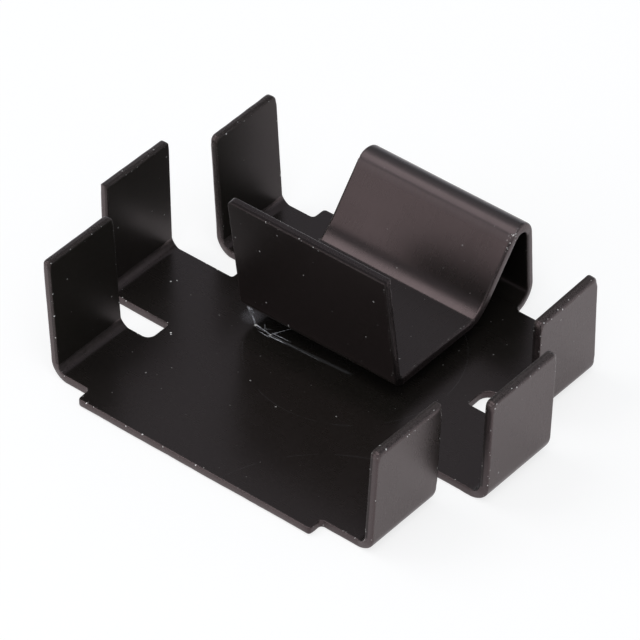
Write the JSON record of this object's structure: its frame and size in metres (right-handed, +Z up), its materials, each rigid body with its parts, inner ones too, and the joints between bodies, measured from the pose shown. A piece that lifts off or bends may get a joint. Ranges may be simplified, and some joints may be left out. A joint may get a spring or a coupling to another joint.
{
  "type": "transistor heat sink",
  "caption": "Clip-on heat sink folded from one black sheet: flat plate, staggered upright fingers in two side rows, and an integral spring clip that presses the transistor tab onto the plate.",
  "frame": {"origin": "on the underside of the plate, midway between the two rows of fingers and midway along the plate", "axes": "+X across the two rows of fingers, +Y from the open front edge towards the root of the clip, +Z up out of the plate's upper face"},
  "size_m": [0.0256, 0.0211, 0.0091],
  "materials": {
    "anodised_sheet": "black anodised, semi-gloss"
  },
  "bodies": {
    "root": {"heat_sink": "anodised_sheet"}
  },
  "joints": []
}
